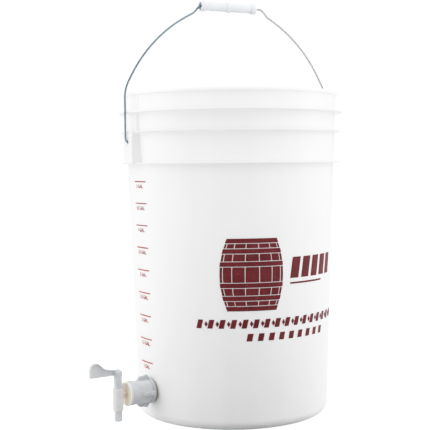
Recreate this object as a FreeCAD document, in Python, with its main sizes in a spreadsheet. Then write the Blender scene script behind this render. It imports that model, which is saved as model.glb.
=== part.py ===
import FreeCAD, Part
import os
import Sketcher

# A plastic fermenting bucket with a bail handle and a bottling tap.
#
# Millimetres. The origin is on the bucket's axis, at the plane that it stands on, +Z up.
# The bail's hinge axis lies along X, so the two ears are at -X and +X. The tap stands out of the
# wall on a bearing of 188 degrees from +X, close under the ear at -X, and the printed front of the
# bucket faces -Y.
#
# Parts of the tap share a frame of their own: +X along the tap's axis, away from the wall, with
# zero on the wall's outer face; +Z up, with zero at the tap's axis.

DIMENSIONS = {
    # Bucket: a tapered wall on a foot ring, with the floor raised inside the ring.
    "bucket_height": 451.3,
    "wall_base_radius": 135.7,
    "wall_slope": 0.0296,
    "wall_thickness": 2.3,
    "corner_radius": 13.7,
    "foot_inner_radius": 112.0,
    "foot_thickness": 2.6,
    "floor_rise": 9.0,
    "floor_thickness": 2.8,
    "floor_edge_radius": 103.0,
    "floor_edge_inset": 1.2,
    "trough_inset": 1.4,
    "bead_radius": 152.7,
    "bead_height": 5.0,
    "bead_rounding": 1.6,
    "mouth_rounding": 0.8,
    # Three thin stiffening rings below the rim, counted from the top.
    "ring_thickness": 2.5,
    "ring_rounding": 0.9,
    "upper_ring_height": 423.2,
    "upper_ring_radius": 158.3,
    "middle_ring_height": 396.2,
    "middle_ring_radius": 155.6,
    "lower_ring_height": 353.9,
    "lower_ring_radius": 154.5,
    # Ears: a deep block between the lower two rings, and shallower pads above it. Their sides
    # slope, so that each is wider at its root than at its face.
    "ear_width": 29.4,
    "ear_draft": 3.5,
    "pad_draft": 2.5,
    "ear_face": 157.8,
    "ear_root": 145.3,
    "ear_core_width": 7.0,
    "ear_core_depth": 7.0,
    "ear_core_inner": 148.2,
    "ear_core_offset": 8.6,
    "ear_core_height": 36.0,
    "middle_pad_face": 151.5,
    "middle_pad_root": 146.3,
    "upper_pad_face": 149.6,
    "upper_pad_root": 147.2,
    # Bail wire, measured from its hinge axis.
    "pivot_height": 381.5,
    "wire_radius": 1.55,
    "pivot_clearance": 0.07,
    "pivot_bore_end": 148.3,
    "pivot_mouth_radius": 3.9,
    "pivot_throat_inset": 0.3,
    "pin_end": 148.8,
    "heel_radius": 6.5,
    "bail_half_span": 160.6,
    "shoulder_rise": 73.4,
    "shoulder_radius": 50.0,
    "arch_half_span": 121.3,
    "arch_rise": 146.2,
    "arch_radius": 205.0,
    "neck_half_span": 58.5,
    "neck_rise": 181.4,
    "neck_radius": 12.0,
    "grip_bend_half_span": 49.6,
    "grip_rise": 191.4,
    "grip_bend_radius": 7.0,
    "straight_offset": 2.5,
    # Bail grip: a tube with three raised bands and open ends, slid a little to one side.
    "grip_half_length": 43.5,
    "grip_offset": -2.6,
    "grip_radius": 6.1,
    "grip_end_band_radius": 7.5,
    "grip_end_band_width": 7.5,
    "grip_middle_band_radius": 7.05,
    "grip_middle_band_width": 6.0,
    "grip_mouth_radius": 5.3,
    "grip_mouth_depth": 12.0,
    "band_rounding": 1.2,
    # Tap: where it stands, and the clamp through the wall.
    "tap_height": 44.1,
    "tap_bearing": 188.0,
    "wall_hole_radius": 12.7,
    "pipe_radius": 12.2,
    "pipe_bore_radius": 8.2,
    "inlet_radius": 7.6,
    "inlet_end": 11.5,
    "pipe_end": 29.0,
    "flange_radius": 20.0,
    "flange_face": 5.4,
    "flange_thickness": 4.0,
    "flange_rounding": 1.0,
    "gasket_bore_radius": 12.3,
    "outer_gasket_radius": 16.9,
    "inner_gasket_radius": 19.0,
    "gasket_depth": 4.0,
    # Lugged locking collar.
    "collar_start": 1.8,
    "collar_end": 36.6,
    "collar_bore_radius": 12.35,
    "collar_flange_radius": 17.3,
    "collar_flange_end": 4.0,
    "collar_neck_radius": 16.0,
    "collar_outer_radius": 16.7,
    "collar_bead_radius": 16.9,
    "collar_bead_start": 5.0,
    "collar_bead_end": 5.9,
    "collar_rounding": 0.6,
    "lug_thickness": 4.2,
    "lug_root": 14.5,
    "lug_start": 4.2,
    "lug_start_height": 18.2,
    "lug_tip_start": 7.0,
    "lug_tip_end": 10.2,
    "lug_tip_height": 22.2,
    "lug_tip_rounding": 1.0,
    "lug_step": 11.6,
    "lug_height": 20.9,
    "lug_slope_start": 19.6,
    "lug_slope_rounding": 2.0,
    "lug_end": 22.4,
    "lug_end_height": 16.6,
    "lug_end_rounding": 0.8,
    # Tap body: a shank that plugs into the collar, an end disc and the upright barrel.
    "shank_start": 12.0,
    "shank_nose_radius": 8.12,
    "shank_nose_rounding": 0.8,
    "shank_bore_radius": 5.5,
    "shank_plug_start": 29.5,
    "shank_plug_radius": 12.3,
    "disc_end": 40.2,
    "disc_radius": 16.7,
    "disc_rounding": 1.0,
    "neck_outer_radius": 5.0,
    "neck_slit_depth": 1.4,
    "neck_slit_height": 1.0,
    "port_radius": 2.8,
    "port_start": 37.0,
    "shank_groove_start": 16.9,
    "shank_groove_end": 19.1,
    "shank_groove_radius": 6.7,
    "barrel_reach": 51.6,
    "barrel_radius": 7.5,
    "barrel_bottom": -21.1,
    "barrel_top": 8.9,
    "barrel_bore_radius": 6.0,
    "barrel_lip_radius": 5.6,
    "barrel_lip_top": -18.6,
    "barrel_chamfer": 0.9,
    "web_thickness": 5.0,
    "web_overlap": 0.5,
    "web_bottom": 3.5,
    "web_outer_height": 8.0,
    "web_slope_start": 43.2,
    "web_top": 15.4,
    # Tap key: spout, plug, stem, domed head and lever in one moulding, measured from the barrel.
    "spout_bottom": -35.2,
    "spout_radius": 5.5,
    "spout_bore_radius": 3.7,
    "spout_bore_top": 3.2,
    "spout_rounding": 0.6,
    "snap_bead_radius": 5.9,
    "snap_bead_bottom": -22.3,
    "snap_bead_top": -21.5,
    "snap_bead_lead": 0.4,
    "plug_radius": 5.93,
    "plug_bottom": -18.4,
    "plug_top": 7.6,
    "seal_groove_radius": 4.62,
    "lower_seal_height": -14.8,
    "upper_seal_height": 5.6,
    "seal_half_width": 0.72,
    "stem_radius": 5.7,
    "head_radius": 6.3,
    "stem_shoulder": 0.3,
    "head_bottom": 25.4,
    "head_lead": 0.5,
    "head_top": 35.5,
    "head_rounding": 5.6,
    "side_port_radius": 2.6,
    "lever_thickness": 5.0,
    "lever_web_thickness": 1.8,
    "lever_root": 3.0,
    "lever_border": 1.7,
    "lever_border_lean": 0.7,
    "lever_pocket_start": 6.6,
    "lever_reach": 42.8,
    "lever_bottom": 27.2,
    "lever_toe_rounding": 2.4,
    "lever_arm_top": 34.6,
    "lever_bend_start": 19.5,
    "lever_bend_height": 37.7,
    "lever_bend_rounding": 9.0,
    "lever_tip_start": 30.0,
    "lever_tip_top": 46.9,
    "lever_tip_rounding": 4.5,
    "lever_crown_rounding": 9.0,
    # O-rings.
    "seal_centre_radius": 5.27,
    "seal_section_radius": 0.64,
    "tail_seal_centre_radius": 7.45,
    "tail_seal_section_radius": 0.7,
    # How far a cutting shape runs past the face that it opens.
    "cut_margin": 1.0,
}

document = FreeCAD.newDocument("fermenting_bucket")
sheet = document.addObject("Spreadsheet::Sheet", "dims")
for row, (alias, value) in enumerate(DIMENSIONS.items(), start=1):
    sheet.set(f"A{row}", alias)
    sheet.set(f"B{row}", str(value))
    sheet.setAlias(f"B{row}", alias)
document.recompute()

sub_parts = []


def kept(feature, label):
    """Label a finished sub-part and put it on the list that is exported."""
    feature.Label = label
    sub_parts.append(feature)
    return feature


def dim(alias):
    """An expression that reads one cell of the sheet."""
    return f"dims.{alias}"


def wall_at(height):
    """An expression for the outer radius of the bucket's wall at a height."""
    return f"(dims.wall_base_radius + dims.wall_slope * ({height}))"


def new_body(name):
    return document.addObject("PartDesign::Body", name)


def new_sketch(body, name, plane, offsets=None):
    """A sketch on one of the body's own origin planes, moved by offsets given as expressions."""
    sketch = body.newObject("Sketcher::SketchObject", name)
    support = [item for item in body.Origin.OriginFeatures if item.Role == plane][0]
    sketch.AttachmentSupport = (support, "")
    sketch.MapMode = "FlatFace"
    for direction, expression in (offsets or {}).items():
        sketch.setExpression(f"AttachmentOffset.Base.{direction}", expression)
    return sketch


def fix_value(sketch, constraint, name, expression):
    """Add a driving constraint that takes its value from an expression."""
    index = sketch.addConstraint(constraint)
    sketch.renameConstraint(index, name)
    sketch.setExpression(f"Constraints.{name}", expression)


def add_outline(sketch, corners, closed=True):
    """Draw straight lines between corners, each (x, y) or (x, y, rounding radius) as expressions."""
    values = [[sketch.evalExpression(item) for item in corner] for corner in corners]
    first = sketch.GeometryCount
    count = len(corners)
    lines = count if closed else count - 1
    for step in range(lines):
        start = FreeCAD.Vector(*values[step][:2], 0)
        end = FreeCAD.Vector(*values[(step + 1) % count][:2], 0)
        sketch.addGeometry(Part.LineSegment(start, end), False)
    for step in range(lines - (0 if closed else 1)):
        following = first + (step + 1) % count
        sketch.addConstraint(Sketcher.Constraint("Coincident", first + step, 2, following, 1))
    for step, corner in enumerate(corners):
        line, point = (first + step, 1) if step < lines else (first + step - 1, 2)
        for kind, letter, expression in (("DistanceX", "x", corner[0]), ("DistanceY", "y", corner[1])):
            value = sketch.evalExpression(expression)
            constraint = Sketcher.Constraint(kind, -1, 1, line, point, float(value))
            fix_value(sketch, constraint, f"{letter}{first + step}", expression)
    for step, corner in enumerate(corners):
        if len(corner) == 3:
            sketch.fillet(first + step, 1, float(values[step][2]), True, True)
            arc = sketch.GeometryCount - 2
            radius = Sketcher.Constraint("Radius", arc, float(values[step][2]))
            fix_value(sketch, radius, f"round{first + step}", corner[2])


def add_circle(sketch, radius):
    """Draw a circle about the sketch's origin."""
    centre = FreeCAD.Vector(0, 0, 0)
    normal = FreeCAD.Vector(0, 0, 1)
    index = sketch.addGeometry(Part.Circle(centre, normal, sketch.evalExpression(radius)), False)
    sketch.addConstraint(Sketcher.Constraint("Coincident", index, 3, -1, 1))
    size = Sketcher.Constraint("Radius", index, float(sketch.evalExpression(radius)))
    fix_value(sketch, size, "radius", radius)


def turned(body, name, kind, corners, axis, offsets=None):
    """Turn an outline in the XZ plane about one of its sketch's axes, adding or cutting."""
    sketch = new_sketch(body, f"{name}_outline", "XZ_Plane", offsets)
    add_outline(sketch, corners)
    feature = body.newObject(f"PartDesign::{kind}", name)
    feature.Profile = sketch
    feature.ReferenceAxis = (sketch, [axis])
    feature.Angle = 360
    return feature


def raised(body, name, sketch, length, both_ways=False):
    """Pad a sketch by a length, upwards from its plane or half to each side."""
    feature = body.newObject("PartDesign::Pad", name)
    feature.Profile = sketch
    feature.SideType = "Symmetric" if both_ways else "One side"
    feature.setExpression("Length", length)
    return feature


def patterned(body, name, originals, axis, count):
    """Repeat features evenly about one of the body's own origin axes."""
    feature = body.newObject("PartDesign::PolarPattern", name)
    feature.Originals = originals
    feature.Axis = ([item for item in body.Origin.OriginFeatures if item.Role == axis][0], [""])
    feature.Angle = 360
    feature.Occurrences = count
    body.Tip = feature
    return feature


def dressed(body, name, kind, size_name, size, chosen):
    """Round or chamfer the edges of the body's tip that pass a test."""
    document.recompute()
    base = body.Tip
    edges = [f"Edge{index}" for index, edge in enumerate(base.Shape.Edges, start=1) if chosen(edge)]
    feature = body.newObject(f"PartDesign::{kind}", name)
    feature.Base = (base, edges)
    feature.setExpression(size_name, size)
    body.Tip = feature
    return feature


def cylinder(name, radius, start, end):
    """A cylinder along the tap's X axis between two distances from the wall."""
    feature = document.addObject("Part::Cylinder", name)
    feature.Placement.Rotation = FreeCAD.Rotation(FreeCAD.Vector(0, 1, 0), 90)
    feature.setExpression("Radius", radius)
    feature.setExpression("Height", f"({end}) - ({start})")
    feature.setExpression("Placement.Base.x", start)
    return feature


def combined(name, kind, base, tool):
    """A Part::Cut or Part::Common of two features."""
    feature = document.addObject(f"Part::{kind}", name)
    feature.Base = base
    feature.Tool = tool
    return feature


def seat_on_tap(feature, reach="0"):
    """Turn a feature to the tap's bearing and stand it on the wall, out by an extra reach."""
    feature.Placement = FreeCAD.Placement(
        FreeCAD.Vector(), FreeCAD.Rotation(FreeCAD.Vector(0, 0, 1), DIMENSIONS["tap_bearing"])
    )
    distance = f"({wall_at('dims.tap_height')} + {reach})"
    feature.setExpression("Placement.Base.x", f"{distance} * cos(dims.tap_bearing * 1deg)")
    feature.setExpression("Placement.Base.y", f"{distance} * sin(dims.tap_bearing * 1deg)")
    feature.setExpression("Placement.Base.z", dim("tap_height"))
    feature.setExpression("Placement.Rotation.Angle", "dims.tap_bearing * 1deg")
    return feature


def seated(name, feature):
    """Wrap a feature that already has a place in the tap's frame, and stand the whole on the wall."""
    wrapped = document.addObject("Part::Compound", name)
    wrapped.Links = [feature]
    return seat_on_tap(wrapped)


# ---------------------------------------------------------------------------------------------
# Bucket


def ring_corners(height, radius):
    """The four corners of one stiffening ring, going up the outside of the wall."""
    under = f"({height} - dims.ring_thickness / 2)"
    over = f"({height} + dims.ring_thickness / 2)"
    rounding = dim("ring_rounding")
    return [
        (wall_at(under), under),
        (radius, under, rounding),
        (radius, over, rounding),
        (wall_at(over), over),
    ]


def bucket_outline():
    """Half of the bucket's section: under the floor, up the outside, and down the inside."""
    inside = "- dims.wall_thickness"
    inner_floor = "dims.floor_rise + dims.floor_thickness"
    corners = [
        ("0", dim("floor_rise")),
        (dim("floor_edge_radius"), dim("floor_rise")),
        (dim("foot_inner_radius"), "0"),
        (wall_at("0"), "0", dim("corner_radius")),
    ]
    for ring in ("lower_ring", "middle_ring", "upper_ring"):
        corners += ring_corners(dim(f"{ring}_height"), dim(f"{ring}_radius"))
    corners += [
        (wall_at("dims.bucket_height - dims.bead_height"), "dims.bucket_height - dims.bead_height"),
        (dim("bead_radius"), "dims.bucket_height - dims.bead_height", dim("bead_rounding")),
        (dim("bead_radius"), dim("bucket_height"), dim("bead_rounding")),
        (f"{wall_at('dims.bucket_height')} {inside}", dim("bucket_height"), dim("mouth_rounding")),
        (
            f"{wall_at('dims.foot_thickness')} {inside}",
            dim("foot_thickness"),
            "dims.corner_radius - dims.wall_thickness",
        ),
        ("dims.foot_inner_radius + dims.trough_inset", dim("foot_thickness")),
        ("dims.floor_edge_radius + dims.floor_edge_inset", inner_floor),
        ("0", inner_floor),
    ]
    return corners


def ear_block(body, name, root, face, draft, bottom, top):
    """A block with sloping sides that stands out of the wall at +X between two heights."""
    sketch = new_sketch(body, f"{name}_outline", "XY_Plane", {"z": bottom})
    half = "dims.ear_width / 2"
    root_half = f"({half} + {draft})"
    add_outline(sketch, [(root, f"-{root_half}"), (face, f"-{half}"), (face, half), (root, root_half)])
    return raised(body, name, sketch, f"({top}) - ({bottom})")


def ear_cores(body):
    """Two blind hollows in the ear's underside, one each side of its pivot."""
    under = "dims.lower_ring_height - dims.ring_thickness / 2"
    sketch = new_sketch(body, "ear_core_outline", "XY_Plane", {"z": under})
    near = dim("ear_core_inner")
    far = "dims.ear_core_inner + dims.ear_core_depth"
    for side in ("-", ""):
        low = f"({side}dims.ear_core_offset - dims.ear_core_width / 2)"
        high = f"({side}dims.ear_core_offset + dims.ear_core_width / 2)"
        add_outline(sketch, [(near, low), (far, low), (far, high), (near, high)])
    feature = body.newObject("PartDesign::Pocket", "ear_core")
    feature.Profile = sketch
    feature.Reversed = True
    feature.setExpression("Length", dim("ear_core_height"))
    return feature


def pivot_bore(body):
    """The blind bore for the wire's end, with a conical mouth that clears the wire's bend."""
    bore = "(dims.wire_radius + dims.pivot_clearance)"
    throat = "(dims.bail_half_span - dims.heel_radius - dims.pivot_throat_inset)"
    outside = "dims.ear_face + dims.cut_margin"
    corners = [
        (dim("pivot_bore_end"), "0"),
        (dim("pivot_bore_end"), bore),
        (throat, bore),
        (dim("ear_face"), dim("pivot_mouth_radius")),
        (outside, dim("pivot_mouth_radius")),
        (outside, "0"),
    ]
    return turned(body, "pivot_bore", "Groove", corners, "H_Axis", {"y": dim("pivot_height")})


def make_bucket():
    body = new_body("bucket_moulding")
    turned(body, "shell", "Revolution", bucket_outline(), "V_Axis")
    half_ring = "dims.ring_thickness / 2"
    ear = ear_block(
        body, "ear", dim("ear_root"), dim("ear_face"), dim("ear_draft"),
        f"dims.lower_ring_height - {half_ring}", f"dims.middle_ring_height + {half_ring}",
    )
    middle_pad = ear_block(
        body, "middle_pad", dim("middle_pad_root"), dim("middle_pad_face"), dim("pad_draft"),
        dim("middle_ring_height"), dim("upper_ring_height"),
    )
    upper_pad = ear_block(
        body, "upper_pad", dim("upper_pad_root"), dim("upper_pad_face"), dim("pad_draft"),
        dim("upper_ring_height"), "dims.bucket_height - dims.bead_height",
    )
    cores = ear_cores(body)
    bore = pivot_bore(body)
    patterned(body, "ears", [ear, middle_pad, upper_pad, cores, bore], "Z_Axis", 2)

    depth = "2 * dims.wall_thickness + dims.cut_margin"
    hole = seated("placed_tap_hole", cylinder("tap_hole", dim("wall_hole_radius"), f"-({depth})", depth))
    kept(combined("bucket", "Cut", body, hole), "bucket")


# ---------------------------------------------------------------------------------------------
# Bail


def bail_corners(side):
    """One side of the bail, from its pin up to the straight top, which stands a little off centre."""
    return [
        (f"{side}dims.pin_end", "0"),
        (f"{side}dims.bail_half_span", "0", dim("heel_radius")),
        (f"{side}dims.bail_half_span", dim("shoulder_rise"), dim("shoulder_radius")),
        (f"{side}dims.arch_half_span", dim("arch_rise"), dim("arch_radius")),
        (f"{side}dims.neck_half_span + dims.straight_offset", dim("neck_rise"), dim("neck_radius")),
        (
            f"{side}dims.grip_bend_half_span + dims.straight_offset",
            dim("grip_rise"),
            dim("grip_bend_radius"),
        ),
    ]


def make_bail_wire():
    """A steel wire swept along one outline, from the pin in one ear to the pin in the other."""
    body = new_body("bail")
    path = new_sketch(body, "bail_path", "XZ_Plane")
    add_outline(path, bail_corners("") + bail_corners("-")[::-1], closed=False)
    section = new_sketch(body, "bail_section", "YZ_Plane", {"z": dim("pin_end")})
    add_circle(section, dim("wire_radius"))
    pipe = body.newObject("PartDesign::AdditivePipe", "bail_pipe")
    pipe.Profile = section
    pipe.Spine = (path, [])
    body.setExpression("Placement.Base.z", dim("pivot_height"))
    kept(body, "bail_wire")


def band(start, end, radius):
    """Two rounded corners of a raised band on the grip."""
    return [(start, radius, dim("band_rounding")), (end, radius, dim("band_rounding"))]


def make_bail_grip():
    """A turned tube with a wide mouth at each end and a close bore between."""
    body = new_body("grip")
    end = "dims.grip_half_length"
    band_start = "(dims.grip_half_length - dims.grip_end_band_width)"
    middle = "dims.grip_middle_band_width / 2"
    mouth = "(dims.grip_half_length - dims.grip_mouth_depth)"
    bore = "dims.wire_radius + dims.pivot_clearance"
    corners = [(f"-{end}", dim("grip_mouth_radius"))]
    corners += band(f"-{end}", f"-{band_start}", dim("grip_end_band_radius"))
    corners += [(f"-{band_start}", dim("grip_radius")), (f"-{middle}", dim("grip_radius"))]
    corners += [(f"-{middle}", dim("grip_middle_band_radius")), (middle, dim("grip_middle_band_radius"))]
    corners += [(middle, dim("grip_radius")), (band_start, dim("grip_radius"))]
    corners += band(band_start, end, dim("grip_end_band_radius"))
    corners += [
        (end, dim("grip_mouth_radius")),
        (mouth, dim("grip_mouth_radius")),
        (mouth, bore),
        (f"-{mouth}", bore),
        (f"-{mouth}", dim("grip_mouth_radius")),
    ]
    turned(body, "grip_tube", "Revolution", corners, "H_Axis")
    body.setExpression("Placement.Base.x", dim("grip_offset"))
    body.setExpression("Placement.Base.z", "dims.pivot_height + dims.grip_rise")
    kept(body, "bail_grip")


# ---------------------------------------------------------------------------------------------
# Clamp through the wall


def make_bulkhead():
    """A flanged pipe that passes out through the wall, with a narrower inlet inside the bucket."""
    body = new_body("bulkhead_moulding")
    face = "-dims.flange_face"
    back = "-(dims.flange_face + dims.flange_thickness)"
    corners = [
        (back, dim("inlet_radius")),
        (back, dim("flange_radius"), dim("flange_rounding")),
        (face, dim("flange_radius")),
        (face, dim("pipe_radius")),
        (dim("pipe_end"), dim("pipe_radius")),
        (dim("pipe_end"), dim("pipe_bore_radius")),
        (dim("inlet_end"), dim("pipe_bore_radius")),
        (dim("inlet_end"), dim("inlet_radius")),
    ]
    turned(body, "flanged_pipe", "Revolution", corners, "H_Axis")
    seat_on_tap(body)
    kept(body, "bulkhead_fitting")


def wall_cone(name, inset):
    """The bucket's wall as a solid cone in the tap's frame, inset from the outer face."""
    cone = document.addObject("Part::Cone", name)
    cone.setExpression("Radius1", f"{wall_at('0')} - {inset}")
    cone.setExpression("Radius2", f"{wall_at('dims.lower_ring_height')} - {inset}")
    cone.setExpression("Height", dim("lower_ring_height"))
    cone.setExpression("Placement.Base.x", f"-{wall_at('dims.tap_height')}")
    cone.setExpression("Placement.Base.z", "-dims.tap_height")
    return cone


def make_gaskets():
    """Rubber washers, each with one face bedded on the curved wall."""
    outer_ring = combined(
        "outer_ring", "Cut",
        cylinder("outer_blank", dim("outer_gasket_radius"), "-dims.gasket_depth", dim("collar_start")),
        cylinder("outer_bore", dim("gasket_bore_radius"), "-2 * dims.gasket_depth", "dims.gasket_depth"),
    )
    outer = combined("outer_gasket", "Cut", outer_ring, wall_cone("outer_wall_face", "0"))
    inner_ring = combined(
        "inner_ring", "Cut",
        cylinder("inner_blank", dim("inner_gasket_radius"), "-dims.flange_face", "0"),
        cylinder("inner_bore", dim("gasket_bore_radius"), "-2 * dims.flange_face", "dims.cut_margin"),
    )
    inner_wall = wall_cone("inner_wall_face", dim("wall_thickness"))
    inner = combined("inner_gasket", "Common", inner_ring, inner_wall)
    for gasket in (outer, inner):
        seat_on_tap(gasket)
        kept(gasket, gasket.Name)


def make_collar():
    """The locking collar: a flange and bead at the wall, a flared sleeve and four lugs."""
    body = new_body("collar")
    corners = [
        (dim("collar_start"), dim("collar_bore_radius")),
        (dim("collar_start"), dim("collar_flange_radius")),
        (dim("collar_flange_end"), dim("collar_flange_radius")),
        (dim("collar_bead_start"), dim("collar_neck_radius")),
        (dim("collar_bead_start"), dim("collar_bead_radius")),
        (dim("collar_bead_end"), dim("collar_bead_radius")),
        (dim("collar_bead_end"), dim("collar_neck_radius")),
        (dim("collar_end"), dim("collar_outer_radius"), dim("collar_rounding")),
        (dim("collar_end"), dim("collar_bore_radius")),
    ]
    turned(body, "sleeve", "Revolution", corners, "H_Axis")
    lug_outline = new_sketch(body, "lug_outline", "XZ_Plane")
    lug_corners = [
        (dim("lug_start"), dim("lug_root")),
        (dim("lug_end"), dim("lug_root")),
        (dim("lug_end"), dim("lug_end_height"), dim("lug_end_rounding")),
        (dim("lug_slope_start"), dim("lug_height"), dim("lug_slope_rounding")),
        (dim("lug_step"), dim("lug_height"), dim("lug_tip_rounding")),
        (dim("lug_tip_end"), dim("lug_tip_height"), dim("lug_tip_rounding")),
        (dim("lug_tip_start"), dim("lug_tip_height"), dim("lug_tip_rounding")),
        (dim("lug_start"), dim("lug_start_height"), dim("lug_end_rounding")),
    ]
    add_outline(lug_outline, lug_corners)
    lug = raised(body, "lug", lug_outline, dim("lug_thickness"), both_ways=True)
    patterned(body, "lugs", [lug], "X_Axis", 4)
    seat_on_tap(body)
    kept(body, "lock_collar")


# ---------------------------------------------------------------------------------------------
# Tap


def make_tap_body():
    """Shank, end disc, neck and the upright barrel that holds the key."""
    body = new_body("tap_moulding")
    nose = dim("shank_nose_radius")
    corners = [
        (dim("shank_start"), dim("shank_bore_radius")),
        (dim("shank_start"), nose, dim("shank_nose_rounding")),
        (dim("shank_groove_start"), nose),
        (dim("shank_groove_start"), dim("shank_groove_radius")),
        (dim("shank_groove_end"), dim("shank_groove_radius")),
        (dim("shank_groove_end"), nose),
        (dim("shank_plug_start"), nose),
        (dim("shank_plug_start"), dim("shank_plug_radius"), dim("shank_nose_rounding")),
        (dim("collar_end"), dim("shank_plug_radius")),
        (dim("collar_end"), dim("disc_radius")),
        (dim("disc_end"), dim("disc_radius"), dim("disc_rounding")),
        (dim("disc_end"), dim("neck_outer_radius")),
        (dim("barrel_reach"), dim("neck_outer_radius")),
        (dim("barrel_reach"), dim("port_radius")),
        (dim("port_start"), dim("port_radius")),
        (dim("port_start"), dim("shank_bore_radius")),
    ]
    turned(body, "shank", "Revolution", corners, "H_Axis")

    barrel_outline = new_sketch(
        body, "barrel_outline", "XY_Plane", {"x": dim("barrel_reach"), "z": dim("barrel_bottom")}
    )
    add_circle(barrel_outline, dim("barrel_radius"))
    raised(body, "barrel", barrel_outline, "dims.barrel_top - dims.barrel_bottom")

    web_outline = new_sketch(body, "web_outline", "XZ_Plane")
    web_root = "dims.disc_end - dims.web_overlap"
    web_end = "dims.barrel_reach - dims.barrel_radius + dims.web_overlap"
    web_corners = [
        (web_root, dim("web_bottom")),
        (web_end, dim("web_bottom")),
        (web_end, dim("web_outer_height")),
        (dim("web_slope_start"), dim("web_top")),
        (web_root, dim("web_top")),
    ]
    add_outline(web_outline, web_corners)
    raised(body, "web", web_outline, dim("web_thickness"), both_ways=True)

    slit_outline = new_sketch(
        body, "neck_slit_outline", "XZ_Plane", {"z": "dims.neck_slit_depth - dims.neck_outer_radius"}
    )
    half_slit = "dims.neck_slit_height / 2"
    slit_end = "dims.barrel_reach - dims.barrel_radius + dims.web_overlap"
    slit_corners = [
        (dim("disc_end"), f"-{half_slit}"),
        (slit_end, f"-{half_slit}"),
        (slit_end, half_slit),
        (dim("disc_end"), half_slit),
    ]
    add_outline(slit_outline, slit_corners)
    slit = body.newObject("PartDesign::Pocket", "neck_slit")
    slit.Profile = slit_outline
    slit.setExpression("Length", "dims.neck_slit_depth + dims.cut_margin")

    bore = [
        ("0", "dims.barrel_bottom - dims.cut_margin"),
        (dim("barrel_lip_radius"), "dims.barrel_bottom - dims.cut_margin"),
        (dim("barrel_lip_radius"), dim("barrel_lip_top")),
        (dim("barrel_bore_radius"), dim("barrel_lip_top")),
        (dim("barrel_bore_radius"), "dims.barrel_top + dims.cut_margin"),
        ("0", "dims.barrel_top + dims.cut_margin"),
    ]
    turned(body, "barrel_bore", "Groove", bore, "V_Axis", {"x": dim("barrel_reach")})

    def barrel_rim(edge):
        """The barrel's outer circle at its lower end."""
        if not isinstance(edge.Curve, Part.Circle):
            return False
        same_size = abs(edge.Curve.Radius - DIMENSIONS["barrel_radius"]) < 1e-6
        return same_size and abs(edge.Curve.Center.z - DIMENSIONS["barrel_bottom"]) < 1e-6

    dressed(body, "barrel_chamfer", "Chamfer", "Size", dim("barrel_chamfer"), barrel_rim)
    seat_on_tap(body)
    kept(body, "tap_body")


def key_outline():
    """Half of the key's turned section: up the outside, then down the spout's bore."""
    spout = dim("spout_radius")
    plug = dim("plug_radius")
    corners = [
        (dim("spout_bore_radius"), dim("spout_bottom")),
        (spout, dim("spout_bottom"), dim("spout_rounding")),
        (spout, "dims.snap_bead_bottom - dims.snap_bead_lead"),
        (dim("snap_bead_radius"), dim("snap_bead_bottom")),
        (dim("snap_bead_radius"), dim("snap_bead_top")),
        (spout, "dims.snap_bead_top + dims.snap_bead_lead / 4"),
        (spout, dim("plug_bottom")),
        (plug, dim("plug_bottom")),
    ]
    for seal in ("lower_seal_height", "upper_seal_height"):
        under = f"dims.{seal} - dims.seal_half_width"
        over = f"dims.{seal} + dims.seal_half_width"
        groove = dim("seal_groove_radius")
        corners += [(plug, under), (groove, under), (groove, over), (plug, over)]
    corners += [
        (plug, dim("plug_top")),
        (dim("stem_radius"), "dims.plug_top + dims.stem_shoulder"),
        (dim("stem_radius"), dim("head_bottom")),
        (dim("head_radius"), "dims.head_bottom + dims.head_lead"),
        (dim("head_radius"), dim("head_top"), dim("head_rounding")),
        ("0", dim("head_top")),
        ("0", dim("spout_bore_top")),
        (dim("spout_bore_radius"), dim("spout_bore_top")),
    ]
    return corners


def lever_corners(inset, start):
    """The lever's side view, drawn in from its edge by an inset and begun at a distance out."""
    bottom = f"dims.lever_bottom + {inset}"
    reach = f"dims.lever_reach - {inset}"
    top = f"dims.lever_tip_top - {inset}"
    lean = f"{inset} / dims.lever_border * dims.lever_border_lean"
    return [
        (start, bottom),
        (reach, bottom, f"dims.lever_toe_rounding - {inset} / 2"),
        (reach, top, f"dims.lever_crown_rounding - {inset}"),
        (f"dims.lever_tip_start + {lean}", top, f"dims.lever_tip_rounding - {inset}"),
        (
            f"dims.lever_bend_start + {lean}",
            f"dims.lever_bend_height - {inset}",
            f"dims.lever_bend_rounding + {inset} / 2",
        ),
        (start, f"dims.lever_arm_top - {inset}"),
    ]


def make_tap_key():
    """Spout, plug, stem, head and lever as one moulding, on the barrel's own axis."""
    body = new_body("key")
    turned(body, "turned_key", "Revolution", key_outline(), "V_Axis")

    web_outline = new_sketch(body, "lever_web_outline", "XZ_Plane")
    add_outline(web_outline, lever_corners("0", dim("lever_root")))
    raised(body, "lever_web", web_outline, dim("lever_web_thickness"), both_ways=True)

    frame_outline = new_sketch(body, "lever_frame_outline", "XZ_Plane")
    add_outline(frame_outline, lever_corners("0", dim("lever_root")))
    add_outline(frame_outline, lever_corners(dim("lever_border"), dim("lever_pocket_start")))
    raised(body, "lever_frame", frame_outline, dim("lever_thickness"), both_ways=True)

    port_outline = new_sketch(body, "port_outline", "XZ_Plane")
    add_circle(port_outline, dim("side_port_radius"))
    port = body.newObject("PartDesign::Pocket", "side_port")
    port.Profile = port_outline
    port.setExpression("Length", "dims.plug_radius + dims.cut_margin")
    seat_on_tap(body, dim("barrel_reach"))
    kept(body, "tap_key")


def make_seal(name, centre_radius, section_radius, reach, height="0", on_shank=False):
    """An O-ring about the key's upright axis, or about the shank's level one."""
    ring = document.addObject("Part::Torus", f"{name}_torus")
    ring.setExpression("Radius1", centre_radius)
    ring.setExpression("Radius2", section_radius)
    if on_shank:
        ring.Placement.Rotation = FreeCAD.Rotation(FreeCAD.Vector(0, 1, 0), 90)
    ring.setExpression("Placement.Base.x", reach)
    ring.setExpression("Placement.Base.z", height)
    kept(seated(name, ring), name)


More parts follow.
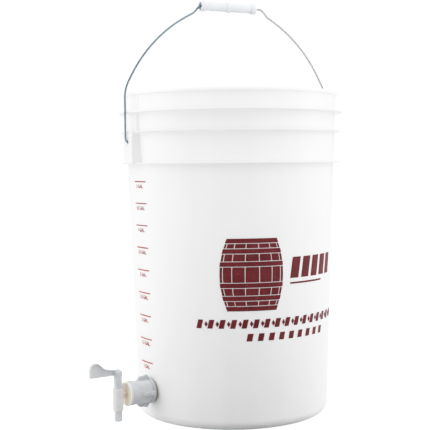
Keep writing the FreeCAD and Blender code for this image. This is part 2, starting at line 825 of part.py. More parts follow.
make_bucket()
make_bail_wire()
make_bail_grip()
make_bulkhead()
make_gaskets()
make_collar()
make_tap_body()
make_tap_key()
for place in ("upper", "lower"):
    make_seal(
        f"{place}_key_seal", dim("seal_centre_radius"), dim("seal_section_radius"),
        dim("barrel_reach"), dim(f"{place}_seal_height"),
    )
make_seal(
    "tail_seal", dim("tail_seal_centre_radius"), dim("tail_seal_section_radius"),
    "(dims.shank_groove_start + dims.shank_groove_end) / 2", on_shank=True,
)
document.recompute()

for item in document.Objects:
    if "Invalid" in item.State or "Error" in item.State:
        raise RuntimeError(f"{item.Name} failed: {item.State}")
for item in sub_parts:
    if item.Shape.isNull() or not item.Shape.isValid():
        raise RuntimeError(f"{item.Label} has no valid shape")

os.makedirs("parts", exist_ok=True)
for item in sub_parts:
    item.Shape.exportStep(f"parts/{item.Label}.step")
    print(f"{item.Label}: {len(item.Shape.Solids)} solid, {item.Shape.Volume / 1000:.2f} cm3")
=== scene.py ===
import math

import bmesh
import bpy
from mathutils import Matrix, Vector


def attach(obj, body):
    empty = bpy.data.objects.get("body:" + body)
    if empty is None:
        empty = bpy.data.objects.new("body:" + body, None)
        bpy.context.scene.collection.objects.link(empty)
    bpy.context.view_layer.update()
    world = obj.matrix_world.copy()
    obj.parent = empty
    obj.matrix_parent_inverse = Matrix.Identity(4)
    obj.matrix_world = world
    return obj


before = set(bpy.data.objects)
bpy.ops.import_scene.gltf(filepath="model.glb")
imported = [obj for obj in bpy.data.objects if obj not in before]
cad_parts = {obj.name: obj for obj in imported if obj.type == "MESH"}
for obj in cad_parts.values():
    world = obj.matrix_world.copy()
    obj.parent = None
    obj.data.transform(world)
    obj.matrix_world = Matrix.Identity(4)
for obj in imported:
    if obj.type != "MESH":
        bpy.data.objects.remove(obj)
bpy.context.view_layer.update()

# Metres. A bearing is an angle round the bucket seen from above: 0 is the front at -Y, 90 is +X,
# and -90 is the ear at -X, close above the tap.
WALL_BASE_RADIUS = 0.1357
WALL_SLOPE = 0.0296
RING_HEIGHTS = (0.3539, 0.3962, 0.4232)
# Painted shade on the ring edges: its half height about each ring, and how far out past the wall its grey
# starts and is full.
RING_REACH = 0.0016
RING_SHADE_START = 0.0030
RING_SHADE_END = 0.0050
TAP_BEARING = math.radians(-82.0)
TAP_HEIGHT = 0.0441
# How far the outer face of the tap's end disc lies from the bucket's axis.
TAP_DISC_FACE = 0.1772
UP = (0.0, 0.0, 1.0)
WHITE = (1.0, 1.0, 1.0, 1.0)


def wall_radius(height):
    """The outer radius of the bucket's wall at a height."""
    return WALL_BASE_RADIUS + WALL_SLOPE * height


def around(radius, bearing, height):
    """The point at a bearing in radians."""
    return Vector((radius * math.sin(bearing), -radius * math.cos(bearing), height))


# ---------------------------------------------------------------------------------------------
# Camera, light and floor

CAMERA_BEARING = math.radians(-27.5)
CAMERA_DISTANCE = 1.436
CAMERA_HEIGHT = 0.3549
CAMERA_SWING = math.radians(0.92)
CAMERA_TILT = math.radians(3.03)
CAMERA_ROLL = math.radians(-0.54)
CAMERA_LENS_MM = 83.93
SENSOR_MM = 36.0

# The surround's strength as seen, as light on matt surfaces, and as it mirrors in gloss. It is dark
# before and behind the bucket, where the cosine of the angle to the dark side passes the edge.
BACKDROP = 1.45
SURROUND = 2.42
DARK_SIDE = 0.97
SURROUND_GLOSS = 1.3
DARK_SIDE_GLOSS = 0.3
DARK_SIDE_BEARING = math.radians(-34.0)
DARK_SIDE_EDGE = (0.50, 0.74)

LAMP_DISTANCE = 1.7
LAMP_SIZE = 1.0
LAMP_POWER = 5.0
LAMP_AIM_HEIGHT = 0.3
# The bearing in degrees and the height of each lamp.
LAMPS = {"key_left": (-110.0, 1.0), "fill_right": (65.0, 0.9)}

FLOOR_HALF = 6.0
FLOOR_DROP = 0.0002
PAPER_COLOUR = (0.96, 0.96, 0.96, 1.0)
FLOOR_GLOW = 1.1
# The light that the floor throws back is weakest around a spot in front of the bucket.
DIM_FLOOR_SHIFT = 0.42
DIM_FLOOR_BEARING = math.radians(-15.0)
DIM_FLOOR_RADIUS = 0.28
LIT_FLOOR_RADIUS = 0.44
DIM_FLOOR_TONE = 0.15
LIT_FLOOR_TONE = 0.52
THROWN_GLOW = 0.7


def make_camera():
    data = bpy.data.cameras.new("camera")
    data.sensor_width = SENSOR_MM
    data.lens = CAMERA_LENS_MM
    camera = bpy.data.objects.new("camera", data)
    bpy.context.scene.collection.objects.link(camera)
    camera.matrix_world = (
        Matrix.Translation(around(CAMERA_DISTANCE, CAMERA_BEARING, CAMERA_HEIGHT))
        @ Matrix.Rotation(CAMERA_BEARING + CAMERA_SWING, 4, "Z")
        @ Matrix.Rotation(math.pi / 2 - CAMERA_TILT, 4, "X")
        @ Matrix.Rotation(CAMERA_ROLL, 4, "Z")
    )
    bpy.context.scene.camera = camera


def make_lamps():
    """Square soft boxes that face the bucket's axis."""
    for name, (bearing, height) in LAMPS.items():
        data = bpy.data.lights.new(name, "AREA")
        data.size = LAMP_SIZE
        data.energy = LAMP_POWER
        lamp = bpy.data.objects.new(name, data)
        bpy.context.scene.collection.objects.link(lamp)
        lamp.location = around(LAMP_DISTANCE, math.radians(bearing), height)
        aim = Vector((0.0, 0.0, LAMP_AIM_HEIGHT)) - lamp.location
        lamp.rotation_mode = "QUATERNION"
        lamp.rotation_quaternion = aim.to_track_quat("-Z", "Y")


def make_world():
    """A white surround that throws more light from the sides than from before and behind."""
    world = bpy.data.worlds.new("studio")
    bpy.context.scene.world = world
    world.use_nodes = True
    nodes, links = world.node_tree.nodes, world.node_tree.links
    nodes.clear()
    output = nodes.new("ShaderNodeOutputWorld")
    seen = nodes.new("ShaderNodeBackground")
    seen.inputs["Color"].default_value = WHITE
    seen.inputs["Strength"].default_value = BACKDROP
    place = nodes.new("ShaderNodeTexCoord")
    front = nodes.new("ShaderNodeVectorMath")
    front.operation = "DOT_PRODUCT"
    front.inputs[1].default_value = around(1.0, DARK_SIDE_BEARING, 0.0)
    path = nodes.new("ShaderNodeLightPath")
    shade = nodes.new("ShaderNodeMapRange")
    shade.interpolation_type = "SMOOTHSTEP"
    shade.inputs["From Min"].default_value, shade.inputs["From Max"].default_value = DARK_SIDE_EDGE
    for socket, matte, gloss in (
        ("To Min", SURROUND, SURROUND_GLOSS),
        ("To Max", DARK_SIDE, DARK_SIDE_GLOSS),
    ):
        level = nodes.new("ShaderNodeMapRange")
        level.inputs["To Min"].default_value = matte
        level.inputs["To Max"].default_value = gloss
        links.new(path.outputs["Is Glossy Ray"], level.inputs["Value"])
        links.new(level.outputs["Result"], shade.inputs[socket])
    either_way = nodes.new("ShaderNodeMath")
    either_way.operation = "ABSOLUTE"
    lighting = nodes.new("ShaderNodeBackground")
    mix = nodes.new("ShaderNodeMixShader")
    links.new(place.outputs["Generated"], front.inputs[0])
    links.new(front.outputs["Value"], either_way.inputs[0])
    links.new(either_way.outputs["Value"], shade.inputs["Value"])
    links.new(shade.outputs["Result"], lighting.inputs["Strength"])
    links.new(path.outputs["Is Camera Ray"], mix.inputs["Fac"])
    links.new(lighting.outputs["Background"], mix.inputs[1])
    links.new(seen.outputs["Background"], mix.inputs[2])
    links.new(mix.outputs["Shader"], output.inputs["Surface"])


# The light level shown as white, and the levels below it with how bright each is shown.
TONE_WHITE = 1.4
TONE = ((0.1, 0.1), (0.3, 0.3), (0.6, 0.6), (0.8, 0.765), (1.0, 0.87), (1.2, 0.95))


def set_tone():
    """A camera's soft shoulder, so that white plastic keeps its shading close to white."""
    view = bpy.context.scene.view_settings
    view.view_transform = "Standard"
    view.use_curve_mapping = True
    view.curve_mapping.white_level = (TONE_WHITE, TONE_WHITE, TONE_WHITE)
    for level, shown in TONE:
        view.curve_mapping.curves[3].points.new(level / TONE_WHITE, shown)
    view.curve_mapping.update()


def studio_paper():
    """White paper. It looks white all over, and throws less light back close before the bucket."""
    paper = bpy.data.materials.new("studio_paper")
    paper.use_nodes = True
    nodes, links = paper.node_tree.nodes, paper.node_tree.links
    shader = nodes["Principled BSDF"]
    shader.inputs["Base Color"].default_value = PAPER_COLOUR
    shader.inputs["Roughness"].default_value = 0.9
    shader.inputs["Specular IOR Level"].default_value = 0.1
    shader.inputs["Emission Color"].default_value = WHITE
    shader.inputs["Emission Strength"].default_value = FLOOR_GLOW
    place = nodes.new("ShaderNodeTexCoord")
    reach = nodes.new("ShaderNodeVectorMath")
    reach.operation = "DISTANCE"
    reach.inputs[1].default_value = around(DIM_FLOOR_SHIFT, DIM_FLOOR_BEARING, 0.0)
    tone = nodes.new("ShaderNodeMapRange")
    for socket, value in (
        ("From Min", DIM_FLOOR_RADIUS),
        ("From Max", LIT_FLOOR_RADIUS),
        ("To Min", DIM_FLOOR_TONE),
        ("To Max", LIT_FLOOR_TONE),
    ):
        tone.inputs[socket].default_value = value
    thrown = nodes.new("ShaderNodeBsdfPrincipled")
    thrown.inputs["Roughness"].default_value = 1.0
    thrown.inputs["Specular IOR Level"].default_value = 0.0
    thrown.inputs["Emission Strength"].default_value = THROWN_GLOW
    path = nodes.new("ShaderNodeLightPath")
    mix = nodes.new("ShaderNodeMixShader")
    links.new(place.outputs["Object"], reach.inputs[0])
    links.new(reach.outputs["Value"], tone.inputs["Value"])
    for socket in ("Base Color", "Emission Color"):
        links.new(tone.outputs["Result"], thrown.inputs[socket])
    links.new(path.outputs["Is Camera Ray"], mix.inputs["Fac"])
    links.new(thrown.outputs["BSDF"], mix.inputs[1])
    links.new(shader.outputs["BSDF"], mix.inputs[2])
    links.new(mix.outputs["Shader"], nodes["Material Output"].inputs["Surface"])
    return paper


def make_floor():
    """A square sheet just below the foot ring."""
    mesh = bpy.data.meshes.new("floor")
    signs = ((-1, -1), (1, -1), (1, 1), (-1, 1))
    mesh.from_pydata([(x * FLOOR_HALF, y * FLOOR_HALF, 0.0) for x, y in signs], [], [(0, 1, 2, 3)])
    floor = bpy.data.objects.new("floor", mesh)
    bpy.context.scene.collection.objects.link(floor)
    floor.location.z = -FLOOR_DROP
    mesh.materials.append(studio_paper())


# ---------------------------------------------------------------------------------------------
# Materials

# Most of a noise texture's values lie between these, and its upper part between the next two.
NOISE_SPAN = (0.3, 0.7)
UPPER_SPAN = (0.35, 0.7)
# The tap's painted warm light, a cream tint for the warm light in its shade, amber where the disc meets the
# neck, starts at its disc's rim and fades out along the neck. These are distances out from the disc's face,
# and then from the neck's middle line.
WARM_LIGHT_START = (-0.0006, -0.0001)
WARM_LIGHT_END = (0.0015, 0.0045)
WARM_LIGHT_FADE = (0.004, 0.015)
# How much rougher handling leaves a small moulding.
HANDLING_DULLS = 0.14
# Where the wire turns from its painted shade, duller and bluer, to full brightness, along X.
WIRE_SHADE_TURN = (-0.03, 0.06)
# The heights between which the ink of the scale grows from thin to full.
THIN_INK = (0.08, 0.30)


class Paint:
    """A material's node tree, with its textures laid out in the object's own metres."""

    def __init__(self, name):
        self.material = bpy.data.materials.new(name)
        self.material.use_nodes = True
        self.tree = self.material.node_tree
        self.shader = self.tree.nodes["Principled BSDF"]
        self.place = self.tree.nodes.new("ShaderNodeTexCoord")
        self.bump_end = None

    def node(self, kind, **values):
        """Add a node, with its own settings."""
        made = self.tree.nodes.new(kind)
        for key, value in values.items():
            setattr(made, key, value)
        return made

    def set(self, **values):
        """Set the shader's own sockets, named with _ for each space."""
        for key, value in values.items():
            self.shader.inputs[key.replace("_", " ")].default_value = value

    def noise(self, scale, detail, stretch=(1.0, 1.0, 1.0), distortion=0.0):
        """Noise with about this many blobs to a metre, longer along an axis with a small stretch."""
        mapping = self.node("ShaderNodeMapping")
        mapping.inputs["Scale"].default_value = stretch
        self.tree.links.new(self.place.outputs["Object"], mapping.inputs["Vector"])
        texture = self.node("ShaderNodeTexNoise")
        texture.inputs["Scale"].default_value = scale
        texture.inputs["Detail"].default_value = detail
        texture.inputs["Distortion"].default_value = distortion
        self.tree.links.new(mapping.outputs["Vector"], texture.inputs["Vector"])
        return texture.outputs["Fac"]

    def ramp(self, value, low, high, low_colour, high_colour):
        """Turn a value between two limits into a colour between two colours."""
        ramp = self.node("ShaderNodeValToRGB")
        first, last = ramp.color_ramp.elements
        first.position, last.position = low, high
        first.color, last.color = (*low_colour, 1.0), (*high_colour, 1.0)
        self.tree.links.new(value, ramp.inputs["Fac"])
        return ramp.outputs["Color"]

    def range(self, value, low, high, to_low=0.0, to_high=1.0):
        """Turn a value between two limits into a number between two others."""
        remap = self.node("ShaderNodeMapRange")
        sockets = ("From Min", "From Max", "To Min", "To Max")
        for socket, number in zip(sockets, (low, high, to_low, to_high)):
            remap.inputs[socket].default_value = number
        self.tree.links.new(value, remap.inputs["Value"])
        return remap.outputs["Result"]

    def mixed(self, factor, one, other, blend="MIX"):
        """Blend two colours, each a tuple or a socket, by a number or a socket."""
        mix = self.node("ShaderNodeMix", data_type="RGBA", blend_type=blend)
        colours = [socket for socket in mix.inputs if socket.type == "RGBA"]
        for socket, colour in zip(colours, (one, other)):
            if isinstance(colour, tuple):
                socket.default_value = (*colour, 1.0)
            else:
                self.tree.links.new(colour, socket)
        if isinstance(factor, float):
            mix.inputs["Factor"].default_value = factor
        else:
            self.tree.links.new(factor, mix.inputs["Factor"])
        return [socket for socket in mix.outputs if socket.type == "RGBA"][0]

    def along(self, direction):
        """How far a point lies along a direction from the origin, in metres."""
        product = self.node("ShaderNodeVectorMath", operation="DOT_PRODUCT")
        product.inputs[1].default_value = direction
        self.tree.links.new(self.place.outputs["Object"], product.inputs[0])
        return product.outputs["Value"]

    def distance(self, centre):
        """How far a point lies from a centre, in metres."""
        reach = self.node("ShaderNodeVectorMath", operation="DISTANCE")
        reach.inputs[1].default_value = centre
        self.tree.links.new(self.place.outputs["Object"], reach.inputs[0])
        return reach.outputs["Value"]

    def beyond_wall(self):
        """How far a point lies outside the bucket's tapered wall, in metres."""
        flat = self.node("ShaderNodeVectorMath", operation="MULTIPLY")
        flat.inputs[1].default_value = (1.0, 1.0, 0.0)
        self.tree.links.new(self.place.outputs["Object"], flat.inputs[0])
        radius = self.node("ShaderNodeVectorMath", operation="LENGTH")
        self.tree.links.new(flat.outputs["Vector"], radius.inputs[0])
        wall = self.node("ShaderNodeMath", operation="MULTIPLY_ADD")
        wall.inputs[1].default_value = -WALL_SLOPE
        self.tree.links.new(self.along(UP), wall.inputs[0])
        self.tree.links.new(radius.outputs["Value"], wall.inputs[2])
        past = self.node("ShaderNodeMath", operation="SUBTRACT")
        past.inputs[1].default_value = WALL_BASE_RADIUS
        self.tree.links.new(wall.outputs["Value"], past.inputs[0])
        return past.outputs["Value"]

    def near_height(self, heights, reach):
        """One where a point lies close to one of some heights, and nought elsewhere."""
        height = self.along(UP)
        total = None
        for level in heights:
            close = self.node("ShaderNodeMath", operation="COMPARE")
            close.inputs[1].default_value = level
            close.inputs[2].default_value = reach
            self.tree.links.new(height, close.inputs[0])
            if total is None:
                total = close.outputs["Value"]
            else:
                both = self.node("ShaderNodeMath", operation="MAXIMUM")
                self.tree.links.new(total, both.inputs[0])
                self.tree.links.new(close.outputs["Value"], both.inputs[1])
                total = both.outputs["Value"]
        return total

    def product(self, one, other):
        """One value times another."""
        times = self.node("ShaderNodeMath", operation="MULTIPLY")
        self.tree.links.new(one, times.inputs[0])
        self.tree.links.new(other, times.inputs[1])
        return times.outputs["Value"]

    def feed(self, socket, value):
        """Lead a value that varies over the surface into the shader."""
        self.tree.links.new(value, self.shader.inputs[socket])

    def bump(self, height, distance, strength):
        """Add a layer of relief, with its full height in metres."""
        bump = self.node("ShaderNodeBump")
        bump.inputs["Distance"].default_value = distance
        bump.inputs["Strength"].default_value = strength
        self.tree.links.new(height, bump.inputs["Height"])
        if self.bump_end is not None:
            self.tree.links.new(self.bump_end, bump.inputs["Normal"])
        self.bump_end = bump.outputs["Normal"]
        self.tree.links.new(self.bump_end, self.shader.inputs["Normal"])


def bucket_plastic():
    """Milky polyethylene: soft mottling, faint upright flow lines, satin grain, and painted shade that greys
    the ring edges.
    """
    paint = Paint("milky_polyethylene")
    mottling = paint.noise(scale=14.0, detail=3.0)
    flow = paint.noise(scale=30.0, detail=3.0, stretch=(1.0, 1.0, 0.06))
    cloudy = paint.ramp(mottling, *NOISE_SPAN, (0.875, 0.875, 0.88), (0.90, 0.90, 0.90))
    streaked = paint.ramp(flow, 0.35, 0.65, (0.97, 0.97, 0.975), (1.0, 1.0, 1.0))
    plain = paint.mixed(1.0, cloudy, streaked, "MULTIPLY")
    proud = paint.range(paint.beyond_wall(), RING_SHADE_START, RING_SHADE_END)
    at_ring = paint.near_height(RING_HEIGHTS, RING_REACH)
    # Painted shade: the rings' edges, proud of the wall, are greyed as the shade of each ring's underside.
    ring_shade_grey = (0.74, 0.74, 0.745)
    paint.feed("Base Color", paint.mixed(paint.product(proud, at_ring), plain, ring_shade_grey))
    rubbed = paint.noise(scale=240.0, detail=4.0, stretch=(1.0, 1.0, 0.12), distortion=0.4)
    paint.feed("Roughness", paint.range(rubbed, *UPPER_SPAN, 0.36, 0.52))
    paint.set(Subsurface_Weight=0.7, Subsurface_Radius=(1.0, 1.0, 1.0), Subsurface_Scale=0.007, IOR=1.5)
    paint.bump(flow, distance=0.00035, strength=0.5)
    paint.bump(paint.noise(scale=1400.0, detail=2.0), distance=0.00006, strength=0.35)
    return paint.material


def wire_steel():
    """Bright drawn zinc-coated wire, faintly spangled, with painted shade that makes it duller and bluer
    towards one end.
    """
    paint = Paint("galvanised_wire")
    spangle = paint.noise(scale=420.0, detail=3.0)
    drawn = paint.noise(scale=2600.0, detail=2.0, stretch=(0.08, 1.0, 0.08))
    spangle_span = (0.3, 0.72)
    # Painted shade: the wire's tone is darker and bluer towards -X, standing for the darker reflections seen
    # there.
    shaded_tone = paint.ramp(spangle, *spangle_span, (0.25, 0.315, 0.355), (0.37, 0.435, 0.47))
    lit_tone = paint.ramp(spangle, *spangle_span, (0.46, 0.48, 0.49), (0.56, 0.57, 0.58))
    side = paint.range(paint.along((1.0, 0.0, 0.0)), *WIRE_SHADE_TURN)
    paint.feed("Base Color", paint.mixed(side, shaded_tone, lit_tone))
    paint.feed("Roughness", paint.range(drawn, *NOISE_SPAN, 0.32, 0.44))
    paint.set(Metallic=1.0)
    paint.bump(drawn, distance=0.00001, strength=0.4)
    return paint.material


def moulded_plastic(name, low, high, roughness, grain, subsurface, depth=0.0015):
    """Injection-moulded plastic between two tones, slightly clouded."""
    paint = Paint(name)
    clouding = paint.noise(scale=90.0, detail=3.0)
    paint.feed("Base Color", paint.ramp(clouding, *NOISE_SPAN, low, high))
    finish_moulding(paint, roughness, grain, subsurface, depth)
    return paint.material


def finish_moulding(paint, roughness, grain, subsurface, depth):
    """The gloss, glow, fine spark-eroded grain and handling marks of all the small mouldings."""
    handled = paint.noise(scale=420.0, detail=4.0)
    paint.feed("Roughness", paint.range(handled, *UPPER_SPAN, roughness, roughness + HANDLING_DULLS))
    paint.set(Subsurface_Weight=subsurface, Subsurface_Radius=(1.0, 0.94, 0.86), Subsurface_Scale=depth)
    paint.set(IOR=1.5, Coat_Weight=0.2, Coat_Roughness=0.25)
    paint.bump(paint.noise(scale=grain, detail=2.0), distance=0.000006, strength=0.4)


def tap_body_plastic():
    """Natural nylon, near white, with painted warm light on the end disc: cream, and amber where it meets the
    neck.
    """
    paint = Paint("natural_moulding")
    clouding = paint.noise(scale=90.0, detail=3.0)
    pale = paint.ramp(clouding, *NOISE_SPAN, (0.65, 0.65, 0.64), (0.71, 0.71, 0.705))
    outward = around(1.0, TAP_BEARING, 0.0)
    face = paint.along(outward)
    on_disc = paint.range(face, *(TAP_DISC_FACE + step for step in WARM_LIGHT_START))
    before_barrel = paint.range(face, *(TAP_DISC_FACE + step for step in WARM_LIGHT_END), 1.0, 0.0)
    spread = paint.distance(outward * TAP_DISC_FACE + Vector((0.0, 0.0, TAP_HEIGHT)))
    # Painted warm light: the disc's face is tinted cream, and amber close to the neck, for the warm light in
    # its shade.
    neck_warm_light = (0.82, 0.70, 0.54)
    disc_warm_light = (0.80, 0.755, 0.67)
    painted_warm_light = paint.ramp(paint.range(spread, *WARM_LIGHT_FADE), 0.0, 1.0, neck_warm_light, disc_warm_light)
    paint.feed("Base Color", paint.mixed(paint.product(on_disc, before_barrel), pale, painted_warm_light))
    finish_moulding(paint, roughness=0.34, grain=1700.0, subsurface=0.8, depth=0.003)
    return paint.material


def rubber(name, low, high):
    """Dusty moulded rubber."""
    paint = Paint(name)
    dust = paint.noise(scale=700.0, detail=4.0)
    paint.feed("Base Color", paint.ramp(dust, *UPPER_SPAN, low, high))
    paint.feed("Roughness", paint.range(dust, *NOISE_SPAN, 0.55, 0.8))
    paint.set(Specular_IOR_Level=0.35)
    paint.bump(paint.noise(scale=2500.0, detail=2.0), distance=0.00005, strength=0.5)
    return paint.material


def print_ink():
    """Screen-printed maroon ink, slightly uneven, with pinholes."""
    paint = Paint("maroon_ink")
    uneven = paint.noise(scale=60.0, detail=4.0)
    pinholes = paint.noise(scale=900.0, detail=2.0)
    tone = paint.ramp(uneven, *NOISE_SPAN, (0.105, 0.006, 0.009), (0.150, 0.014, 0.018))
    wall_showing = (0.5, 0.36, 0.36)
    holed = paint.range(pinholes, 0.66, 0.74, 0.0, 0.6)
    paint.feed("Base Color", paint.mixed(holed, tone, wall_showing))
    paint.feed("Roughness", paint.range(uneven, *NOISE_SPAN, 0.38, 0.5))
    paint.set(Specular_IOR_Level=0.2)
    paint.bump(pinholes, distance=0.00003, strength=0.4)
    return paint.material


def scale_ink():
    """The graduations' thinner ink: maroon at the top, and redder where it grows thin low down."""
    paint = Paint("scale_ink")
    full = paint.range(paint.along(UP), *THIN_INK)
    thin_red = (0.44, 0.055, 0.042)
    full_maroon = (0.29, 0.080, 0.076)
    tone = paint.mixed(full, thin_red, full_maroon)
    blotches = paint.noise(scale=700.0, detail=3.0)
    worn = paint.range(blotches, 0.6, 0.72, 0.0, 0.5)
    worn_tone = (0.62, 0.35, 0.33)
    paint.feed("Base Color", paint.mixed(worn, tone, worn_tone))
    paint.feed("Roughness", paint.range(blotches, *NOISE_SPAN, 0.4, 0.52))
    paint.bump(blotches, distance=0.00003, strength=0.4)
    return paint.material


def paint_nodes():
    """Give every CAD node its finish."""
    key = moulded_plastic(
        "light_grey_moulding",
        low=(0.54, 0.555, 0.575),
        high=(0.60, 0.615, 0.635),
        roughness=0.3,
        grain=1900.0,
        subsurface=0.9,
        depth=0.003,
    )
    collar = moulded_plastic(
        "grey_moulding",
        low=(0.50, 0.515, 0.54),
        high=(0.56, 0.575, 0.60),
        roughness=0.28,
        grain=1500.0,
        subsurface=0.1,
    )
    grip = moulded_plastic(
        "grip_moulding",
        low=(0.70, 0.73, 0.77),
        high=(0.76, 0.785, 0.825),
        roughness=0.36,
        grain=500.0,
        subsurface=0.0,
    )
    finishes = {
        "bucket": bucket_plastic(),
        "bail_wire": wire_steel(),
        "bail_grip": grip,
        "tap_key": key,
        "tap_body": tap_body_plastic(),
        "lock_collar": collar,
        "bulkhead_fitting": collar,
    }
    brown = rubber("brown_rubber", low=(0.22, 0.18, 0.15), high=(0.33, 0.285, 0.245))
    black = rubber("black_rubber", low=(0.02, 0.02, 0.02), high=(0.05, 0.05, 0.05))
    for name in ("outer_gasket", "inner_gasket"):
        finishes[name] = brown
    for name in ("tail_seal", "upper_key_seal", "lower_key_seal"):
        finishes[name] = black
    for name, finish in finishes.items():
        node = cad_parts[name]
        if not node.material_slots:
            node.data.materials.append(finish)
        for slot in node.material_slots:
            slot.material = finish


# ---------------------------------------------------------------------------------------------
# Print on the wall

INK_THICKNESS = 0.00008
INK_STAND_OFF = 0.00012
# The print is cut into strips about this wide, so that it bends with the wall.
WRAP_STEP = 0.0025
MERGE_DISTANCE = 1e-7
LETTER_WEIGHT = 0.00022


def flat_mesh(data):
    """The mesh of a flat curve or line of text, which is then removed."""
    shape = bpy.data.objects.new("flat_shape", data)
    bpy.context.scene.collection.objects.link(shape)
    bpy.context.view_layer.update()
    mesh = bpy.data.meshes.new_from_object(shape.evaluated_get(bpy.context.evaluated_depsgraph_get()))
    bpy.data.objects.remove(shape)
    bpy.data.curves.remove(data)
    return mesh


def flat_outlines(outlines):
    """Closed outlines as flat faces. Outlines inside others are holes."""
    data = bpy.data.curves.new("outline", "CURVE")
    data.dimensions = "2D"
    data.fill_mode = "BOTH"
    for outline in outlines:
        spline = data.splines.new("POLY")
        spline.points.add(len(outline) - 1)
        for point, (x, y) in zip(spline.points, outline):
            point.co = (x, y, 0.0, 1.0)
        spline.use_cyclic_u = True
    return flat_mesh(data)


def flat_lettering(text, size):
    """A centred line of text as flat faces."""
    data = bpy.data.curves.new("lettering", "FONT")
    data.body = text
    data.size = size
    data.align_x = "CENTER"
    data.offset = LETTER_WEIGHT
    return flat_mesh(data)


def wrapped(name, flat, bearing, height, ink):
    """Bend flat faces round the wall, centred at a bearing and a height, as a thin layer of ink."""
    shape = bmesh.new()
    shape.from_mesh(flat)
    bmesh.ops.remove_doubles(shape, verts=shape.verts, dist=MERGE_DISTANCE)
    low = min(vertex.co.x for vertex in shape.verts)
    high = max(vertex.co.x for vertex in shape.verts)
    for step in range(1, math.ceil((high - low) / WRAP_STEP)):
        cut = Vector((low + step * WRAP_STEP, 0.0, 0.0))
        everything = shape.verts[:] + shape.edges[:] + shape.faces[:]
        bmesh.ops.bisect_plane(shape, geom=everything, plane_co=cut, plane_no=(1.0, 0.0, 0.0))
    for vertex in shape.verts:
        level = height + vertex.co.y
        angle = bearing + vertex.co.x / wall_radius(height)
        vertex.co = around(wall_radius(level) + INK_STAND_OFF, angle, level)
    mesh = bpy.data.meshes.new(name)
    shape.to_mesh(mesh)
    shape.free()
    bpy.data.meshes.remove(flat)
    mesh.materials.append(ink)
    piece = bpy.data.objects.new(name, mesh)
    bpy.context.scene.collection.objects.link(piece)
    layer = piece.modifiers.new("ink", "SOLIDIFY")
    layer.thickness = INK_THICKNESS
    layer.offset = 1.0
    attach(piece, "bucket_body")


def bar(left, right, low, high, slant=0.0):
    """A four-sided outline, its top shifted right by a slant."""
    return [(left, low), (right, low), (right + slant, high), (left + slant, high)]


def lozenge(x, y, half_width, half_height):
    """A four-sided outline that stands on its point."""
    return [(x - half_width, y), (x, y - half_height), (x + half_width, y), (x, y + half_height)]


GALLON = 0.003785412
SCALE_TOP_GALLONS = 5.0
SCALE_STEP_GALLONS = 0.5
SCALE_LINES = 9
ONE_GALLON_HEIGHT = 0.0814
WALL_THICKNESS = 0.0023
SCALE_BEARING = math.radians(-85.9)
NUMBER_BEARING = math.radians(-86.1)
NUMBER_DROP = 0.0088
NUMBER_SIZE = 0.0069
SCALE_LINE_HALF_LENGTH = 0.0168
SCALE_LINE_HALF_WIDTH = 0.0009


def scale_height(gallons):
    """The height of a volume in the tapered bucket: equal volumes stand further apart low down."""
    inside = wall_radius(ONE_GALLON_HEIGHT) - WALL_THICKNESS
    volume = (gallons - 1.0) * GALLON
    radius = (inside**3 + 3.0 * WALL_SLOPE * volume / math.pi) ** (1 / 3)
    return ONE_GALLON_HEIGHT + (radius - inside) / WALL_SLOPE


def make_scale(ink):
    """Nine lines from 5 gallons down to 1, each with its number below."""
    half, thin = SCALE_LINE_HALF_LENGTH, SCALE_LINE_HALF_WIDTH
    for step in range(SCALE_LINES):
        gallons = SCALE_TOP_GALLONS - step * SCALE_STEP_GALLONS
        height = scale_height(gallons)
        tag = f"{gallons:g}".replace(".", "_")
        line = flat_outlines([bar(-half, half, -thin, thin)])
        wrapped(f"scale_line_{tag}", line, SCALE_BEARING, height, ink)
        number = flat_lettering(f"{gallons:g} GAL.", NUMBER_SIZE)
        wrapped(f"scale_number_{tag}", number, NUMBER_BEARING, height - NUMBER_DROP, ink)


BARREL_HALF_HEIGHT = 0.0480
BARREL_HALF_WIDTH = 0.0435
BARREL_END_SHARE = 0.76
BARREL_SIDE_STEPS = 8
HOOP_HEIGHTS = (-0.0445, -0.0310, -0.0140, 0.0140, 0.0310, 0.0445)
HOOP_HALF_HEIGHT = 0.0030
STAVES = 7
# Half the bare line between two staves, and the whole bare line between a stave and a hoop.
STAVE_GAP = 0.00055
HOOP_GAP = STAVE_GAP * 1.6


def barrel_half_width(y):
    """The bulged side of the printed barrel."""
    share = 1.0 - (1.0 - BARREL_END_SHARE) * (y / BARREL_HALF_HEIGHT) ** 2
    return BARREL_HALF_WIDTH * share


def barrel_patch(left, right, low, high, gap):
    """Part of the barrel between two shares of its half width and two heights."""
    steps = BARREL_SIDE_STEPS
    heights = [low + (high - low) * step / steps for step in range(steps + 1)]
    up = [(barrel_half_width(y) * right - gap, y) for y in heights]
    down = [(barrel_half_width(y) * left + gap, y) for y in reversed(heights)]
    return up + down


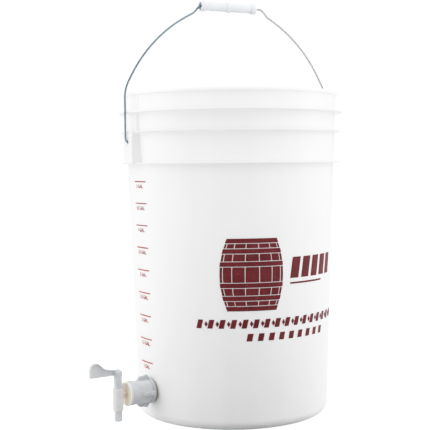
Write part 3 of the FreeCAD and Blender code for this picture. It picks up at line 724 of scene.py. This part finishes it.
def barrel_outlines():
    """Staves between hoops, all as separate patches."""
    patches = [barrel_patch(-1.0, 1.0, y - HOOP_HALF_HEIGHT, y + HOOP_HALF_HEIGHT, 0.0) for y in HOOP_HEIGHTS]
    edges = [-math.cos(math.pi * step / STAVES) for step in range(STAVES + 1)]
    clear = HOOP_HALF_HEIGHT + HOOP_GAP
    for low, high in zip((-BARREL_HALF_HEIGHT,) + HOOP_HEIGHTS, HOOP_HEIGHTS + (BARREL_HALF_HEIGHT,)):
        bottom = low + (clear if low > -BARREL_HALF_HEIGHT else 0.0)
        top = high - (clear if high < BARREL_HALF_HEIGHT else 0.0)
        if top - bottom > STAVE_GAP:
            patches += [barrel_patch(a, b, bottom, top, STAVE_GAP) for a, b in zip(edges, edges[1:])]
    return patches


# The bearing in degrees and the height on the wall where each printed piece has its own origin.
PRINT_PLACES = {
    "print_barrel": (-16.5, 0.2080),
    "print_blocks": (5.5, 0.2150),
    "print_rule": (5.5, 0.1945),
    "print_long_row": (1.0, 0.1435),
    "print_short_row": (6.5, 0.1255),
}


def bar_row(count, first, pitch, left, right, half_height, slant):
    """Equal bars at a pitch. Left and right are a bar's sides, from its own place in the row."""
    places = [first + step * pitch for step in range(count)]
    return [bar(x + left, x + right, -half_height, half_height, slant) for x in places]


def lozenge_row(count, first, pitch, half_width, half_height):
    """Equal lozenges at a pitch."""
    return [lozenge(first + step * pitch, 0.0, half_width, half_height) for step in range(count)]


def make_emblem(ink):
    """A plain barrel, with rows of bars and lozenges beside and below it."""
    blocks = bar_row(
        count=5, first=0.0, pitch=0.0190, left=0.0, right=0.0140, half_height=0.0140, slant=0.004
    )
    long_bars = bar_row(
        count=16, first=-0.1125, pitch=0.0150, left=-0.0048, right=0.0020, half_height=0.0058, slant=0.0028
    )
    lozenges = lozenge_row(count=16, first=-0.1039, pitch=0.0150, half_width=0.0024, half_height=0.0040)
    short_bars = bar_row(
        count=9, first=-0.0600, pitch=0.0150, left=-0.0040, right=0.0036, half_height=0.0050, slant=0.0020
    )
    shapes = {
        "print_barrel": barrel_outlines(),
        "print_blocks": blocks,
        "print_rule": [bar(left=0.0, right=0.064, low=-0.0012, high=0.0012)],
        "print_long_row": [outline for pair in zip(long_bars, lozenges) for outline in pair],
        "print_short_row": short_bars,
    }
    for name, outlines in shapes.items():
        bearing, height = PRINT_PLACES[name]
        wrapped(name, flat_outlines(outlines), math.radians(bearing), height, ink)


make_camera()
make_world()
make_lamps()
make_floor()
set_tone()
paint_nodes()
maroon = print_ink()
make_scale(scale_ink())
make_emblem(maroon)
